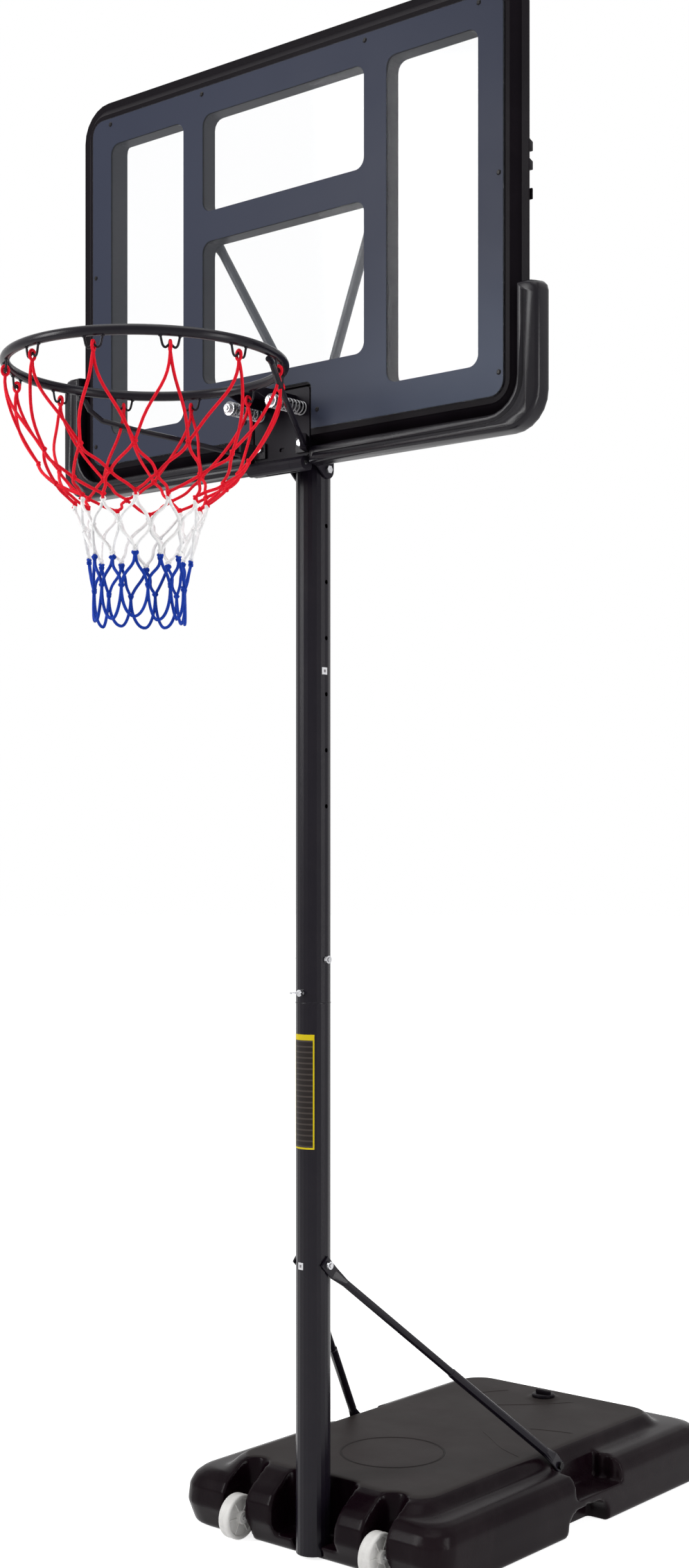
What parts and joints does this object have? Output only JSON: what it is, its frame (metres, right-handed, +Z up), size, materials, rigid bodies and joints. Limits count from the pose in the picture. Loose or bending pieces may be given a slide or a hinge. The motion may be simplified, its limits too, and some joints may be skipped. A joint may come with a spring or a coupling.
{
  "type": "basketball stand",
  "caption": "Portable basketball stand with a ballast base on wheels, a sectional pole, a framed clear board with corner pads, a sprung rim and a net.",
  "frame": {"origin": "on the floor, on the pole's axis, at the flat underside of the base's front ledge", "axes": "+Z up along the pole, -Y from the pole towards the ring, +X to the right as seen from in front of the board"},
  "size_m": [1.139, 1.5787, 2.7655],
  "materials": {
    "base_black": "matt blow-moulded black",
    "frame_black": "fine-grained moulded black",
    "pad_black": "smooth semi-gloss black",
    "satin_black": "satin black powder coat",
    "brace_grey": "satin mid grey",
    "bright_zinc": "bright zinc plate",
    "wheel_white": "moulded off-white",
    "clear_sheet": "clear polished sheet with a slate-blue printed band",
    "net_red": "twisted cord, red",
    "net_white": "twisted cord, white",
    "net_blue": "twisted cord, royal blue"
  },
  "bodies": {
    "base": {"base_tank": "base_black", "wheel_axle_left": "bright_zinc", "wheel_axle_right": "bright_zinc", "pole_lower": "satin_black", "pole_upper": "satin_black", "pole_top_cap": "frame_black", "pole_joint_bolt": "bright_zinc", "pole_joint_nut": "bright_zinc", "pole_lock_screw": "bright_zinc", "strut_left": "satin_black", "strut_right": "satin_black", "strut_bolt": "bright_zinc", "strut_nut": "bright_zinc", "strut_foot_bolt_left": "bright_zinc", "strut_foot_bolt_right": "bright_zinc"},
    "wheel_l": {"wheel_left": "wheel_white"},
    "wheel_r": {"wheel_right": "wheel_white"},
    "cap": {"fill_cap": "frame_black"},
    "board": {"board_frame": "frame_black", "board_sheet": "clear_sheet", "pad_left": "pad_black", "pad_right": "pad_black", "sheet_screw_01": "frame_black", "sheet_screw_02": "frame_black", "sheet_screw_03": "frame_black", "sheet_screw_04": "frame_black", "sheet_screw_05": "frame_black", "sheet_screw_06": "frame_black", "sheet_screw_07": "frame_black", "sheet_screw_08": "frame_black", "sheet_screw_09": "frame_black", "sheet_screw_10": "frame_black", "brace_left": "brace_grey", "brace_right": "brace_grey", "brace_top_bolt_left": "bright_zinc", "brace_top_bolt_right": "bright_zinc", "brace_low_bolt_left": "bright_zinc", "brace_low_bolt_right": "bright_zinc", "pole_bracket": "satin_black", "height_bolt_left": "bright_zinc", "height_bolt_right": "bright_zinc", "rim_back_plate": "satin_black", "hinge_pin": "bright_zinc", "spring_bolt_left": "bright_zinc", "spring_bolt_right": "bright_zinc", "spring_nut_left": "bright_zinc", "spring_nut_right": "bright_zinc", "spring_left": "bright_zinc", "spring_right": "bright_zinc"},
    "rim": {"rim_plate": "satin_black", "plate_bolt_left": "bright_zinc", "plate_bolt_right": "bright_zinc", "rim_ring": "satin_black", "rim_neck": "satin_black", "rim_brace_left": "satin_black", "rim_brace_right": "satin_black", "net_red": "net_red", "net_white": "net_white", "net_blue": "net_blue"}
  },
  "joints": [
    {"name": "wheel_left_spin", "type": "hinge", "parent": "base", "child": "wheel_l", "pos_m": [-0.169, -0.022, 0.0425], "axis": [1, 0, 0], "continuous": true},
    {"name": "wheel_right_spin", "type": "hinge", "parent": "base", "child": "wheel_r", "pos_m": [0.169, -0.022, 0.0425], "axis": [1, 0, 0], "continuous": true},
    {"name": "fill_cap_turn", "type": "hinge", "parent": "base", "child": "cap", "pos_m": [0, 0.75, 0.137], "axis": [0, 0, 1], "continuous": true},
    {"name": "board_height", "type": "slide", "parent": "base", "child": "board", "axis": [0, 0, 1], "range_m": [-0.6168, 0]},
    {"name": "rim_break", "type": "hinge", "parent": "board", "child": "rim", "pos_m": [0, -0.0982, 1.992], "axis": [1, 0, 0], "range_deg": [0, 15], "stiffness_Nm_per_rad": 80, "springref_deg": -14.32, "deforming": ["spring_left", "spring_right"]}
  ]
}
